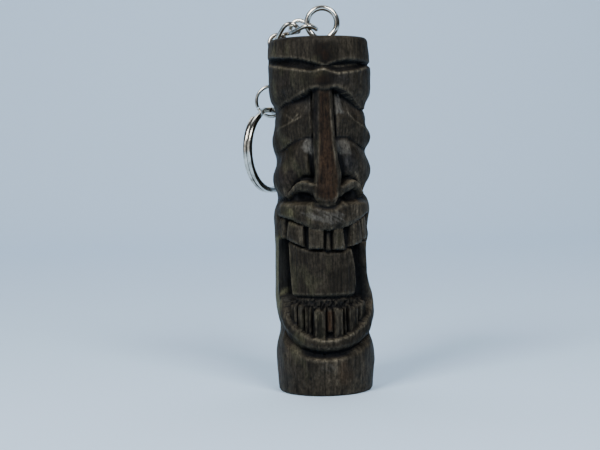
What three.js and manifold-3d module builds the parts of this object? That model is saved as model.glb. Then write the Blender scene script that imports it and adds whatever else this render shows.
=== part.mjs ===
// A carved wooden tiki figure keychain: one piece of turned and carved wood, a screw eye in its top,
// four twisted chain links, a jump ring and a two-coil split key ring.
// Millimetres, +Z up, the face looks along -Y, the foot stands on z = 0.
import * as THREE from "three";
import { mergeVertices } from "three/addons/utils/BufferGeometryUtils.js";
import Module from "manifold-3d";

const wasm = await Module();
wasm.setup();

// ---------------------------------------------------------------- driving dimensions
const BODY_HEIGHT = 99.6; // foot to the flat of the top face
const TOP_DOME = 0.3; // rise of the top face at its middle
const TOP_ROUND = 1.3; // rounding of the top edge
const FOOT_ROUND = 0.9; // rounding of the bottom edge
const FIT_GAP = 0.12; // gap around the screw eye in its pilot hole

const EYE_CENTRE = [1.1, 0, 104.3]; // centre of the screw eye's loop, in the hardware's frame
const EYE_WIRE = 1.65; // wire diameter
const EYE_RADIUS = 4.22; // wire centre radius of the loop (10.1 mm over all)
const SHANK_END = 85.5; // tip of the shank, 14 mm down in the wood

const LINK_WIRE = 1.25; // chain wire diameter
const LINK_HALF = 4.475; // half length between the wire centres of a link's two ends (10.2 mm over all)
const LINK_SIDE = 2.5; // half width between wire centres (6.25 mm over all)
const LINK_TWIST = -42; // degrees that each end is turned about the link's length

const JUMP_WIRE = 1.0;
const JUMP_RADIUS = 4.4; // wire centre radius (9.8 mm over all)

const SPLIT_RADIUS = 11.72; // centre of the section (25 mm over all)
const SPLIT_THICK = 1.55; // radial size of one coil
const SPLIT_AXIAL = 1.2; // axial size of one coil
const SPLIT_OFFSET = 0.64; // each coil's distance from the ring's mid plane

const CHAIN_YAW = 7; // degrees that the hardware's own frame is turned about Z from the body's frame

// ---------------------------------------------------------------- small helpers
const DEG = Math.PI / 180;
const lerp = (a, b, t) => a + (b - a) * t;
const clamp = (x, a = 0, b = 1) => Math.min(b, Math.max(a, x));
const smooth = (a, b, x) => {
  const t = clamp((x - a) / (b - a));
  return t * t * (3 - 2 * t);
};
const table = (points, x) => {
  if (x <= points[0][0]) return points[0][1];
  for (let i = 1; i < points.length; i++) {
    if (x <= points[i][0]) {
      const [x0, y0] = points[i - 1];
      const [x1, y1] = points[i];
      return lerp(y0, y1, (x - x0) / (x1 - x0));
    }
  }
  return points[points.length - 1][1];
};
// a point in the hardware's frame (x to the right, y to the back) as a point of the body's frame
const place = (x, y, z) =>
  new THREE.Vector3(
    x * Math.cos(CHAIN_YAW * DEG) + y * Math.sin(CHAIN_YAW * DEG),
    -x * Math.sin(CHAIN_YAW * DEG) + y * Math.cos(CHAIN_YAW * DEG),
    z,
  );

// ---------------------------------------------------------------- the carved body: radius as a function of angle and height
// angle 0 is the nose (-Y), positive towards +X, in degrees
const LEFT = [
  [0, 13.35], [4.6, 13.6], [8.1, 13.8], [11.6, 13.95], [13.4, 13.75], [15.1, 13.3], [16.9, 12.5], [18.2, 12.25],
  [20.3, 13.0], [22, 13.45], [23.7, 13.7], [27, 13.88], [34, 13.75], [41, 13.65], [46, 13.75], [49.6, 13.9],
  [51.3, 13.7], [53, 13.0], [54.7, 11.85], [56.5, 12.7], [58, 13.5], [59.8, 13.82], [61.5, 13.75], [63.2, 13.2],
  [65, 12.5], [66, 12.35], [68.4, 13.4], [70.1, 13.75], [71.8, 13.77], [73.5, 13.35], [75.2, 13.0], [77, 12.75],
  [78.6, 12.3], [79.3, 12.2], [80.3, 12.7], [82, 13.9], [83.7, 14.25], [85.4, 14.45], [90, 14.5], [95.5, 14.45], [99.6, 14.2],
];
const RIGHT = [
  [0, 13.35], [4.6, 13.75], [8.1, 14.1], [11.6, 13.95], [13.4, 13.6], [15.1, 13.05], [16.6, 12.65], [18.5, 13.5],
  [20.3, 14.0], [22, 14.25], [25.5, 13.9], [28.9, 13.3], [32.4, 12.6], [35.8, 12.1], [38.4, 11.87], [41, 12.1],
  [42.7, 12.7], [44.4, 13.05], [46.1, 12.7], [49.6, 13.2], [51.3, 13.5], [53, 13.4], [54.7, 12.8], [56.4, 11.45],
  [58, 12.0], [59.8, 13.3], [61.5, 13.95], [63.2, 14.0], [65, 13.45], [66.7, 12.7], [67.9, 12.45], [69.2, 13.1],
  [70.1, 13.8], [71.8, 14.2], [73.5, 13.75], [75.2, 12.5], [77, 12.75], [78.6, 12.4], [79.8, 11.8], [81.2, 12.6],
  [82, 13.3], [83.7, 14.2], [85.4, 14.4], [90, 14.42], [95.5, 14.1], [99.6, 13.8],
];
const STOCK = [
  [0, 13.4], [4.6, 13.75], [8.1, 14.0], [11.6, 14.1], [24, 14.15], [50, 14.1], [72, 14.2], [85, 14.5], [95.5, 14.45], [99.6, 14.2],
];
// lines of the carving: [angle, height]
const BROW = [[-110, 79.3], [-66, 79.6], [-50, 81.2], [-33, 83.4], [-20, 84.7], [0, 85.1], [12, 84.9], [24, 83.6], [37, 81.6], [50, 79.9], [66, 79.6], [110, 79.8]];
const LID = [[-110, 72.5], [-67, 74.2], [-31, 77.6], [-18, 78.3], [18, 78.8], [30, 78.3], [57, 74.6], [110, 72]];
const CREASE = [[-110, 66], [-75, 66.8], [-57, 68.6], [-36, 70.9], [-18, 71.8], [14, 72.2], [30, 71.4], [54, 68.2], [75, 67.8], [110, 67.9]];
const CHEEK = [[-110, 54.8], [-70, 55], [-50, 56.2], [-40, 58.2], [-32, 59.9], [-14, 58.6], [14, 58.8], [30, 60.6], [40, 58.8], [52, 56.8], [70, 56.4], [110, 56.5]];
const LIP_LOW = [[-90, 50.2], [-79, 50], [-41, 48], [-20, 47.2], [0, 46.6], [20, 47.4], [35, 48.6], [60, 49.5], [90, 49.8]];
const TOOTH_LOW = [[-90, 44.6], [-64, 43.6], [-48, 42.2], [-26, 41.2], [0, 40.7], [20, 41], [46, 41.8], [62, 43.8], [90, 44.4]];
const JAW_IN = [[-68, 30], [-60, 26], [-53, 21.9], [-38, 18.5], [-21, 16.3], [2, 15.9], [25, 16.6], [44, 19.9], [55, 22.5], [68, 30]];
const JAW_OUT = [[-110, 18.1], [-75, 17.9], [-50, 15.4], [-33, 13.2], [-10, 12.2], [8, 12.4], [30, 13.6], [50, 15.2], [75, 16.5], [110, 16.6]];
const UPPER_TEETH = [[-76, -63], [-55, -31], [-25, -6], [4, 21], [29, 46], [49, 61]];
const LOWER_TEETH = [[-53, -43], [-40, -31], [-28, -21], [-17.5, -2.5], [13, 28], [35.5, 47], [49.5, 56]];

const inside = (bands, a, soft) => {
  let w = 0;
  for (const [a0, a1] of bands) w = Math.max(w, smooth(a0 - soft, a0 + soft, a) * (1 - smooth(a1 - soft, a1 + soft, a)));
  return w;
};

function radius(a, z) {
  const s = Math.abs(a);
  const stock = table(STOCK, z);
  const side = a < 0 ? table(LEFT, z) : table(RIGHT, z);
  // the notches seen in outline run round the sides and die out behind
  const behind = smooth(98, 128, s);
  let r = lerp(side, stock, behind);
  const front = 1 - smooth(58, 78, s); // the front is carved by its own lines
  if (front > 0) {
    let f = stock;
    const brow = table(BROW, a);
    const lid = table(LID, a);
    const crease = table(CREASE, a);
    const cheek = table(CHEEK, a);
    const lip = table(LIP_LOW, a);
    const tooth = table(TOOTH_LOW, a);
    const jawIn = table(JAW_IN, a);
    const jawOut = table(JAW_OUT, a);
    const nose = lerp(6.2, 12.5, smooth(86, 58, z)); // half width of the nose in degrees
    const noseCentre = lerp(-1, 0.3, smooth(86, 58, z));
    const away = Math.abs(a - noseCentre);
    const off = smooth(nose - 0.8, nose + 1.6, away); // 0 on the nose, 1 off it
    if (z > brow) {
      // forehead, with a chip-carved wedge on each side that pinches out in the middle
      const high = lerp(91.5, a < 0 ? 94.9 : 93.8, smooth(2, 82, s));
      const low = lerp(90.9, a < 0 ? 91.6 : 90.5, smooth(2, 82, s));
      const deep = 1.7 * smooth(2, 26, s) * (1 - smooth(66, 84, s)) + 0.25;
      const wedge = smooth(high + 0.3, high - 0.3, z) * smooth(low, lerp(low, high, 0.65), z);
      f -= deep * wedge;
      // the brow leans out over the eyes
      f -= 1.1 * (1 - smooth(brow, brow + 5.5, z)) * smooth(8, 40, s);
    } else if (z > crease) {
      // eyelid: a facet from the hollow under the brow out to the ridge, then one back to the crease
      const up = clamp((brow - z) / Math.max(0.5, brow - lid));
      const down = clamp((z - crease) / Math.max(0.5, lid - crease));
      const hollow = lerp(4.0, 2.4, smooth(16, 60, s));
      const ridge = lerp(2.2, 0.6, smooth(16, 60, s));
      const under = lerp(2.5, 1.4, smooth(16, 60, s));
      f -= z > lid ? lerp(hollow, ridge, Math.sin(up * Math.PI * 0.5)) : lerp(under, ridge, Math.sin(down * Math.PI * 0.5));
    } else if (z > cheek) {
      // cheek: starts set back under the lid, swells, and ends at the nostril wing
      const t = clamp((z - cheek) / Math.max(0.5, crease - cheek));
      const swell = Math.sin(Math.PI * clamp(t * 0.86 + 0.1));
      f -= lerp(lerp(3.4, 2.6, smooth(16, 60, s)), lerp(1.5, 0.35, smooth(16, 50, s)), swell);
    } else if (z > lip) {
      // nostril wings, nostril hollows and the upper lip
      const wing = smooth(cheek - 2.6, cheek - 1.6, z) * (1 - smooth(44, 54, s));
      const band = smooth(54.4, 52.6, z);
      const hole = Math.max(
        Math.exp(-(((a + 27.5) / 9.5) ** 2) - ((z - 55.2) / 1.7) ** 2),
        Math.exp(-(((a - 26) / 9.5) ** 2) - ((z - 55.0) / 1.7) ** 2),
      );
      f -= lerp(2.3, 0.2, Math.max(band, wing * 0.72)) + 2.0 * hole * (1 - band);
    } else if (z > tooth) {
      f -= 0.55 + 1.9 * (1 - inside(UPPER_TEETH, a, 0.9)) + 0.4 * smooth(lip - 1, lip, z);
    } else if (z > jawIn) {
      // open mouth: the tongue between two deep channels, then the lower teeth
      const mouth = smooth(-68.5, -65, a) * (1 - smooth(66, 70, a));
      const tongue = smooth(-55, -50, a) * (1 - smooth(41, 46, a));
      const gum = 1 - smooth(24.8, 26.6, z - 0.4 * Math.sin(a * 0.9));
      const panel = lerp(4.3, 2.1, tongue) + 1.4 * smooth(28.6, 27.2, z) * (1 - gum) + 0.9 * smooth(tooth - 1.4, tooth, z);
      const teeth = 1.15 + 1.7 * (1 - inside(LOWER_TEETH, a, 0.8));
      f -= lerp(0, lerp(panel, teeth, gum), mouth);
    } else if (z > jawOut) {
      f += 0.05;
      f -= 0.5 * smooth(jawIn - 0.8, jawIn, z);
    }
    // undercut between the jaw and the foot
    f -= 1.75 * Math.exp(-(((z - jawOut) / 1.25) ** 2));
    // the nose stands proud from the brow to its round tip
    if (z < 86.4 && z > 53) {
      const tip = smooth(53.0, 54.6, z - 0.012 * away * away);
      const ridgeNose = stock + lerp(-0.9, 0.15, smooth(86, 60, z)) - 0.004 * away * away;
      f = lerp(f, Math.max(f, ridgeNose), (1 - off) * tip);
      // dark channel beside it
      const channel = Math.exp(-(((away - nose - 4.2) / 3.2) ** 2)) * smooth(57.5, 60, z) * (1 - smooth(84.2, 85.6, z));
      f -= 0.9 * channel;
    }
    // in front the outline notches are replaced by these lines, at the sides the two meet
    const wall = z < 47 && z > 21 ? 1 - smooth(66, 72, s) : front;
    r = lerp(r, f, wall);
  }
  // rounded ends
  const topDrop = clamp((z - (BODY_HEIGHT - TOP_ROUND)) / TOP_ROUND);
  r -= TOP_ROUND * (1 - Math.sqrt(1 - topDrop * topDrop));
  const footDrop = clamp((FOOT_ROUND - z) / FOOT_ROUND);
  r -= FOOT_ROUND * (1 - Math.sqrt(1 - footDrop * footDrop)) * 0.9;
  return r;
}

function bodySolid() {
  const angles = [];
  for (const a of [-180, -166, -152, -138, -124, -111, -100, -91, -84, -78, -72, -68.5, -65, -62, -58, -54, -50, -46, -42, -38, -34, -30, -27,
    -23.5, -20, -17, -14, -11, -8, -5, -2, 1, 4, 7, 10, 13, 16, 19, 22, 25, 28, 31, 35, 38, 42, 45.5, 49, 53, 57, 61, 65, 69, 73, 79, 85, 92,
    101, 112, 124, 138, 152, 166]) angles.push(a);
  const heights = [];
  const fine = [
    0, 0.3, 0.9, 3.5, 7, 10, 11.4, 12.6, 13.8, 15, 16.2, 17.4, 18.6, 20.2, 22, 23.8, 25.2, 26.4, 27.4, 29, 32, 35, 38, 40, 41.2, 42.4, 43.8,
    45.4, 46.8, 48, 49.2, 50.4, 51.8, 53, 54, 55, 56, 57.2, 58.4, 59.8, 61.6, 64, 66, 67.4, 68.8, 70.2, 71.4, 72.6, 74.2, 76, 77.6, 79, 80.2,
    81.6, 83, 84.2, 85.4, 87.5, 90.4, 91.4, 92.4, 93.6, 94.8, 96.4, 98.3, 98.9, 99.35, BODY_HEIGHT,
  ];
  heights.push(...fine);
  const n = angles.length;
  const positions = [];
  for (const z of heights) {
    for (const a of angles) {
      const r = radius(a, z);
      positions.push(r * Math.sin(a * DEG), -r * Math.cos(a * DEG), z);
    }
  }
  const bottom = positions.length / 3;
  positions.push(0, 0, 0);
  const top = bottom + 1;
  positions.push(0, 0, BODY_HEIGHT + TOP_DOME);
  const index = [];
  for (let j = 0; j + 1 < heights.length; j++) {
    for (let i = 0; i < n; i++) {
      const a = j * n + i;
      const b = j * n + ((i + 1) % n);
      const c = a + n;
      const d = b + n;
      if ((i + j) % 2) index.push(a, b, d, a, d, c);
      else index.push(a, b, c, b, d, c);
    }
  }
  const last = (heights.length - 1) * n;
  for (let i = 0; i < n; i++) {
    index.push(bottom, (i + 1) % n, i);
    index.push(top, last + i, last + ((i + 1) % n));
  }
  const geometry = new THREE.BufferGeometry();
  geometry.setAttribute("position", new THREE.Float32BufferAttribute(positions, 3));
  geometry.setIndex(index);
  return geometry;
}

// ---------------------------------------------------------------- solids from wires
// a wire swept along points; frame(i) gives the section's two directions; open ends are capped
function sweep(points, section, frame, closed) {
  const m = section.length;
  const positions = [];
  points.forEach((p, i) => {
    const [u, v] = frame(i);
    for (const [x, y] of section) {
      positions.push(p.x + u.x * x + v.x * y, p.y + u.y * x + v.y * y, p.z + u.z * x + v.z * y);
    }
  });
  const index = [];
  const rings = points.length;
  for (let i = 0; i < (closed ? rings : rings - 1); i++) {
    const i2 = (i + 1) % rings;
    for (let k = 0; k < m; k++) {
      const k2 = (k + 1) % m;
      const a = i * m + k;
      const b = i * m + k2;
      const c = i2 * m + k;
      const d = i2 * m + k2;
      index.push(a, b, d, a, d, c);
    }
  }
  if (!closed) {
    for (let k = 1; k + 1 < m; k++) {
      index.push(0, k + 1, k);
      index.push((rings - 1) * m, (rings - 1) * m + k, (rings - 1) * m + k + 1);
    }
  }
  const geometry = new THREE.BufferGeometry();
  geometry.setAttribute("position", new THREE.Float32BufferAttribute(positions, 3));
  geometry.setIndex(index);
  return geometry;
}
const circle = (d, sides) => {
  // the polygon keeps the round wire's area
  const r = (d / 2) * Math.sqrt((2 * Math.PI) / sides / Math.sin((2 * Math.PI) / sides));
  return Array.from({ length: sides }, (_, k) => [r * Math.cos((2 * Math.PI * (k + 0.5)) / sides), r * Math.sin((2 * Math.PI * (k + 0.5)) / sides)]);
};
// frames that turn as little as possible along the wire
function transported(points, closed, start) {
  const n = points.length;
  const tangent = points.map((p, i) => {
    const before = closed ? points[(i + n - 1) % n] : points[Math.max(0, i - 1)];
    const after = closed ? points[(i + 1) % n] : points[Math.min(n - 1, i + 1)];
    return after.clone().sub(before).normalize();
  });
  const us = [];
  let u = start.clone().addScaledVector(tangent[0], -start.dot(tangent[0])).normalize();
  for (let i = 0; i < n; i++) {
    u = u.clone().addScaledVector(tangent[i], -u.dot(tangent[i])).normalize();
    us.push(u);
  }
  let slip = 0;
  if (closed) {
    const end = us[n - 1].clone().addScaledVector(tangent[0], -us[n - 1].dot(tangent[0])).normalize();
    slip = Math.atan2(end.clone().cross(us[0]).dot(tangent[0]), end.dot(us[0]));
  }
  return (i) => {
    const turn = (slip * i) / n;
    const a = us[i].clone().applyAxisAngle(tangent[i], turn);
    return [a, tangent[i].clone().cross(a)];
  };
}

function toManifold(geometry) {
  const g = mergeVertices(geometry, 1e-4);
  return new wasm.Manifold(
    new wasm.Mesh({ numProp: 3, vertProperties: new Float32Array(g.attributes.position.array), triVerts: new Uint32Array(g.index.array) }),
  );
}
function fromManifold(solid) {
  const mesh = solid.getMesh();
  const positions = [];
  for (let i = 0; i < mesh.numVert; i++) positions.push(...mesh.vertProperties.slice(i * mesh.numProp, i * mesh.numProp + 3));
  const geometry = new THREE.BufferGeometry();
  geometry.setAttribute("position", new THREE.Float32BufferAttribute(positions, 3));
  geometry.setIndex(Array.from(mesh.triVerts));
  return geometry;
}

// ---------------------------------------------------------------- screw eye
// the loop is a circle whose two legs run together at 45 degrees and dive into the wood, the shank goes on down
function eyePath(extra) {
  const foot = EYE_RADIUS * Math.SQRT2;
  const points = [[-1.15 + extra, -foot + 1.15 - extra]];
  for (let k = 0; k <= 22; k++) {
    const t = (225 - (270 * k) / 22) * DEG;
    points.push([EYE_RADIUS * Math.cos(t), EYE_RADIUS * Math.sin(t)]);
  }
  points.push([1.3, -foot + 1.3], [0.6, -foot + 0.45], [0.14, -foot - 0.6], [0, -foot - 1.6], [0, -foot - 2.6]);
  return points.map(([x, z]) => place(EYE_CENTRE[0] + x, EYE_CENTRE[1], EYE_CENTRE[2] + z));
}
function eyeSolid(extra, sides) {
  const path = eyePath(extra);
  const loop = toManifold(orient(sweep(path, circle(EYE_WIRE + 2 * extra, sides), transported(path, false, place(0, 1, 0)), false)));
  const shankTop = EYE_CENTRE[2] - EYE_RADIUS * Math.SQRT2 - 1.7;
  const profile = [[0, SHANK_END - 1.2 * extra]];
  const core = EYE_WIRE / 2 - 0.22 + extra;
  const crest = EYE_WIRE / 2 + 0.12 + extra;
  profile.push([core * 0.75, SHANK_END + 1.6]);
  if (extra) {
    profile.push([crest, SHANK_END + 2.2], [crest, shankTop]);
  } else {
    for (let z = SHANK_END + 2.2; z < shankTop - 3.4; z += 1.2) {
      profile.push([core, z], [crest, z + 0.55], [core, z + 1.1]);
    }
    profile.push([EYE_WIRE / 2, shankTop - 2.6], [EYE_WIRE / 2, shankTop]);
  }
  profile.push([0, shankTop]);
  const shankGeometry = new THREE.LatheGeometry(profile.map(([x, y]) => new THREE.Vector2(x, y)), sides);
  shankGeometry.rotateX(Math.PI / 2);
  const foot = place(...EYE_CENTRE);
  shankGeometry.translate(foot.x, foot.y, 0);
  shankGeometry.deleteAttribute("normal");
  shankGeometry.deleteAttribute("uv");
  return loop.add(toManifold(orient(mergeVertices(shankGeometry, 1e-4))));
}

// ---------------------------------------------------------------- chain
// a link about its own centre: length along X, width along Y, both ends turned about X
function linkGeometry() {
  const points = [];
  const n = 36;
  const straight = LINK_HALF - LINK_SIDE;
  const total = 4 * straight + 2 * Math.PI * LINK_SIDE;
  for (let i = 0; i < n; i++) {
    let s = (total * i) / n;
    let x;
    let y;
    if (s < 2 * straight) { x = -straight + s; y = LINK_SIDE; }
    else if (s < 2 * straight + Math.PI * LINK_SIDE) { const t = Math.PI / 2 - (s - 2 * straight) / LINK_SIDE; x = straight + LINK_SIDE * Math.cos(t); y = LINK_SIDE * Math.sin(t); }
    else if (s < 4 * straight + Math.PI * LINK_SIDE) { x = straight - (s - 2 * straight - Math.PI * LINK_SIDE); y = -LINK_SIDE; }
    else { const t = -Math.PI / 2 - (s - 4 * straight - Math.PI * LINK_SIDE) / LINK_SIDE; x = -straight + LINK_SIDE * Math.cos(t); y = LINK_SIDE * Math.sin(t); }
    const turn = LINK_TWIST * DEG * (x / LINK_HALF);
    points.push(new THREE.Vector3(x, y * Math.cos(turn), y * Math.sin(turn)));
  }
  return sweep(points, circle(LINK_WIRE, 8), transported(points, true, new THREE.Vector3(0, 0, 1)), true);
}
// stand a link from the wire centre of one end towards the other, its flat side facing `flat`, then rolled
function placeLink(from, to, flat, roll) {
  const x = to.clone().sub(from).normalize();
  const z = flat.clone().addScaledVector(x, -flat.dot(x)).normalize().applyAxisAngle(x, roll);
  const y = z.clone().cross(x);
  return new THREE.Matrix4().makeBasis(x, y, z).setPosition(from.clone().add(to).multiplyScalar(0.5));
}

// ---------------------------------------------------------------- where the chain lies (hardware frame)
// from the eye back over the top, down over the rim at the back left, to the rings beside the head
const LINKS = [
  { from: [-1.169, -0.747, 102.895], to: [-7.742, 5.211, 104.076], roll: -0.429 },
  { from: [-6.464, 4.151, 104.091], to: [-12.014, 10.243, 100.602], roll: -0.081 },
  { from: [-11.755, 9.503, 102.093], to: [-12.229, 11.982, 93.506], roll: 0.169 },
  { from: [-11.807, 11.626, 94.79], to: [-14.148, 11.83, 86.154], roll: -0.197 },
];
const JUMP_CENTRE = new THREE.Vector3(-14.152, 11.831, 83.023);
const SPLIT_CENTRE = new THREE.Vector3(-14.855, 10.66, 68.758);
const WALL_HEADING = 139; // degrees, the way from the axis to where the chain hangs
const world = (v) => place(v.x, v.y, v.z);
const direction = (x, y, z) => place(x, y, z).normalize();

// ---------------------------------------------------------------- split ring
function splitGeometry() {
  // e1 points from the ring's middle to its near side, e2 up, axis is the ring's axle
  const e1 = direction(-Math.cos(59 * DEG), -Math.sin(59 * DEG), 0);
  const e2 = new THREE.Vector3(0, 0, 1);
  const axis = direction(-Math.sin(59 * DEG), Math.cos(59 * DEG), 0);
  const centre = world(SPLIT_CENTRE);
  const points = [];
  const radial = [];
  const end = 38;
  const stop = 38 + 720 - 33;
  const steps = 74;
  for (let i = 0; i <= steps; i++) {
    const a = lerp(end, stop, i / steps);
    // the coil on the far side runs from its end to the crossing, then shifts over to the near side
    const shift = smooth(end + 360 - 30, end + 360 - 3, a);
    const offset = lerp(SPLIT_OFFSET, -SPLIT_OFFSET, shift);
    const r = e1.clone().multiplyScalar(Math.sin(a * DEG)).addScaledVector(e2, Math.cos(a * DEG));
    radial.push(r);
    points.push(centre.clone().addScaledVector(r, SPLIT_RADIUS).addScaledVector(axis, offset));
  }
  const w = SPLIT_THICK / 2;
  const h = SPLIT_AXIAL / 2;
  const section = [[w, -h * 0.45], [w, h * 0.45], [w * 0.45, h], [-w * 0.45, h], [-w, h * 0.45], [-w, -h * 0.45], [-w * 0.45, -h], [w * 0.45, -h]];
  const g = sweep(points, section, (i) => [radial[i], axis], false);
  return g;
}

// ---------------------------------------------------------------- jump ring: a torus whose plane faces the hardware's front
function jumpGeometry() {
  const centre = world(JUMP_CENTRE);
  const ex = direction(1, 0, 0);
  const ez = new THREE.Vector3(0, 0, 1);
  const points = [];
  const n = 30;
  for (let i = 0; i < n; i++) {
    const t = (2 * Math.PI * i) / n;
    points.push(centre.clone().addScaledVector(ex, JUMP_RADIUS * Math.cos(t)).addScaledVector(ez, JUMP_RADIUS * Math.sin(t)));
  }
  return sweep(points, circle(JUMP_WIRE, 8), transported(points, true, direction(0, 1, 0)), true);
}

// ---------------------------------------------------------------- materials
const wood = new THREE.MeshStandardMaterial({ color: 0x3d3228, roughness: 0.55, metalness: 0 });
const nickel = () => new THREE.MeshStandardMaterial({ color: 0xb9b7b0, roughness: 0.22, metalness: 1 });

// ---------------------------------------------------------------- the assembly
const keychain = new THREE.Group();
function orient(geometry) {
  // outward facing whatever way the sweep ran
  let volume = 0;
  const p = geometry.attributes.position;
  const idx = geometry.index.array;
  const a = new THREE.Vector3();
  const b = new THREE.Vector3();
  const c = new THREE.Vector3();
  for (let i = 0; i < idx.length; i += 3) {
    a.fromBufferAttribute(p, idx[i]);
    b.fromBufferAttribute(p, idx[i + 1]);
    c.fromBufferAttribute(p, idx[i + 2]);
    volume += a.dot(b.cross(c));
  }
  if (volume < 0) {
    const flipped = [];
    for (let i = 0; i < idx.length; i += 3) flipped.push(idx[i], idx[i + 2], idx[i + 1]);
    geometry.setIndex(flipped);
  }
  return geometry;
}
function add(name, geometry, material, matrix) {
  const g = orient(geometry);
  const mesh = new THREE.Mesh(g, material);
  mesh.name = name;
  if (matrix) mesh.applyMatrix4(matrix);
  keychain.add(mesh);
  return mesh;
}

const carved = toManifold(orient(bodySolid())).subtract(eyeSolid(FIT_GAP, 12));
add("tiki_body", fromManifold(carved), wood);
add("screw_eye", fromManifold(eyeSolid(0, 12)), nickel());

const up = new THREE.Vector3(0, 0, 1);
const outward = direction(Math.cos(WALL_HEADING * DEG), Math.sin(WALL_HEADING * DEG), 0);
LINKS.forEach(({ from, to, roll }, i) => {
  const flat = i < 2 ? up : outward;
  add(`chain_link_${i + 1}`, linkGeometry(), nickel(), placeLink(place(...from), place(...to), flat, roll));
});
add("jump_ring", jumpGeometry(), nickel());
add("split_ring", splitGeometry(), nickel());

export default keychain;
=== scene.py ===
import math

import bpy
import numpy as np
from mathutils import Matrix, Vector


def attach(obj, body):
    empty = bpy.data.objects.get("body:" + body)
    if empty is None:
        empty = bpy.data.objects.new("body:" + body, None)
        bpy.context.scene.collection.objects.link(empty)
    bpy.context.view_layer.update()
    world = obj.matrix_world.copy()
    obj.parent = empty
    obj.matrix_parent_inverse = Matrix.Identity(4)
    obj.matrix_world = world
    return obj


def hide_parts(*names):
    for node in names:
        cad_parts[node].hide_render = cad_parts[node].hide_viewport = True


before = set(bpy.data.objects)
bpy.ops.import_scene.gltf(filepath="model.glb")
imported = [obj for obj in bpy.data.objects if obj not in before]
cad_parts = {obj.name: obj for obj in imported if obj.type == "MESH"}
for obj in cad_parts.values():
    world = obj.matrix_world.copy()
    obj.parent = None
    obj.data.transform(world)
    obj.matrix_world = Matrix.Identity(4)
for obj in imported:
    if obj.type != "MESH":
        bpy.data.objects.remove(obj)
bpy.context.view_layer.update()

MM = 0.001
rng = np.random.default_rng(7)

# ------------------------------------------------------------------ the hardware's frame, as in the CAD
YAW = math.radians(7.0)


def place(x, y, z):
    return np.array([x * math.cos(YAW) + y * math.sin(YAW), -x * math.sin(YAW) + y * math.cos(YAW), z])


def unit(v):
    v = np.asarray(v, float)
    return v / np.linalg.norm(v)


# ------------------------------------------------------------------ camera
def make_camera():
    focal, dist, height = 1283.0, 366.0, 66.5
    pitch, roll = math.radians(3.03), math.radians(1.3)
    yaw = math.atan((322.5 - 300.0) / focal)
    fwd = place(0, 1, 0)
    right = place(1, 0, 0)
    up = np.array([0, 0, 1.0])

    def out(v):  # right, forward, up of the level frame -> world
        return v[0] * right + v[1] * fwd + v[2] * up

    def turn(v):
        c, s = math.cos(pitch), math.sin(pitch)
        v = np.array([v[0], v[1] * c + v[2] * s, -v[1] * s + v[2] * c])
        c, s = math.cos(yaw), math.sin(yaw)
        return np.array([v[0] * c - v[1] * s, v[0] * s + v[1] * c, v[2]])

    r = out(turn(np.array([math.cos(roll), 0, -math.sin(roll)])))
    u = out(turn(np.array([math.sin(roll), 0, math.cos(roll)])))
    b = -out(turn(np.array([0, 1.0, 0])))
    at = (-dist * fwd + np.array([0, 0, height])) * MM
    cam = bpy.data.cameras.new("camera")
    cam.sensor_width = 36.0
    cam.lens = focal * 36.0 / 600.0
    cam.clip_start = 0.01
    cam.clip_end = 50.0
    ob = bpy.data.objects.new("camera", cam)
    bpy.context.collection.objects.link(ob)
    m = Matrix.Identity(4)
    for i in range(3):
        m[i][0], m[i][1], m[i][2], m[i][3] = r[i], u[i], b[i], at[i]
    ob.matrix_world = m
    bpy.context.scene.camera = ob
    return ob


camera = make_camera()


# ------------------------------------------------------------------ small numeric helpers
def smooth(a, b, x):
    t = np.clip((x - a) / (b - a), 0.0, 1.0)
    return t * t * (3 - 2 * t)


def lerp(a, b, t):
    return a + (b - a) * t


def line(points, x, soft=0.0):
    p = np.array(points, float)
    if not soft:
        return np.interp(x, p[:, 0], p[:, 1])
    # the same broken line with its corners rounded
    total = 0.0
    for k, w in ((-1.0, 0.25), (-0.5, 0.5), (0.0, 0.5), (0.5, 0.5), (1.0, 0.25)):
        total = total + w * np.interp(x + k * soft, p[:, 0], p[:, 1])
    return total / 2.0


# ------------------------------------------------------------------ the carved wooden figure
HEIGHT = 99.6
DOME = 0.3
ARC = math.pi / 180 * 13.6  # mm along the surface for one degree
LEFT = [
    [0, 13.35], [4.6, 13.6], [8.1, 13.8], [11.6, 13.95], [13.4, 13.75], [15.1, 13.3], [16.9, 12.5], [18.2, 12.25],
    [20.3, 13.0], [22, 13.45], [23.7, 13.7], [27, 13.88], [34, 13.75], [41, 13.65], [46, 13.75], [49.6, 13.9],
    [51.3, 13.7], [53, 13.0], [54.7, 11.85], [56.5, 12.7], [58, 13.5], [59.8, 13.82], [61.5, 13.75], [63.2, 13.2],
    [65, 12.5], [66, 12.35], [68.4, 13.4], [70.1, 13.75], [71.8, 13.77], [73.5, 13.35], [75.2, 13.0], [77, 12.75],
    [78.6, 12.3], [79.3, 12.2], [80.3, 12.7], [82, 13.9], [83.7, 14.25], [85.4, 14.45], [90, 14.5], [95.5, 14.45], [99.6, 14.2],
]
RIGHT = [
    [0, 13.35], [4.6, 13.75], [8.1, 14.1], [11.6, 13.95], [13.4, 13.6], [15.1, 13.05], [16.6, 12.65], [18.5, 13.5],
    [20.3, 14.0], [22, 14.25], [25.5, 13.9], [28.9, 13.3], [32.4, 12.6], [35.8, 12.1], [38.4, 11.87], [41, 12.1],
    [42.7, 12.7], [44.4, 13.05], [46.1, 12.7], [49.6, 13.2], [51.3, 13.5], [53, 13.4], [54.7, 12.8], [56.4, 11.45],
    [58, 12.0], [59.8, 13.3], [61.5, 13.95], [63.2, 14.0], [65, 13.45], [66.7, 12.7], [67.9, 12.45], [69.2, 13.1],
    [70.1, 13.8], [71.8, 14.2], [73.5, 13.75], [75.2, 12.5], [77, 12.75], [78.6, 12.4], [79.8, 11.8], [81.2, 12.6],
    [82, 13.3], [83.7, 14.2], [85.4, 14.4], [90, 14.42], [95.5, 14.1], [99.6, 13.8],
]
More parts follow.
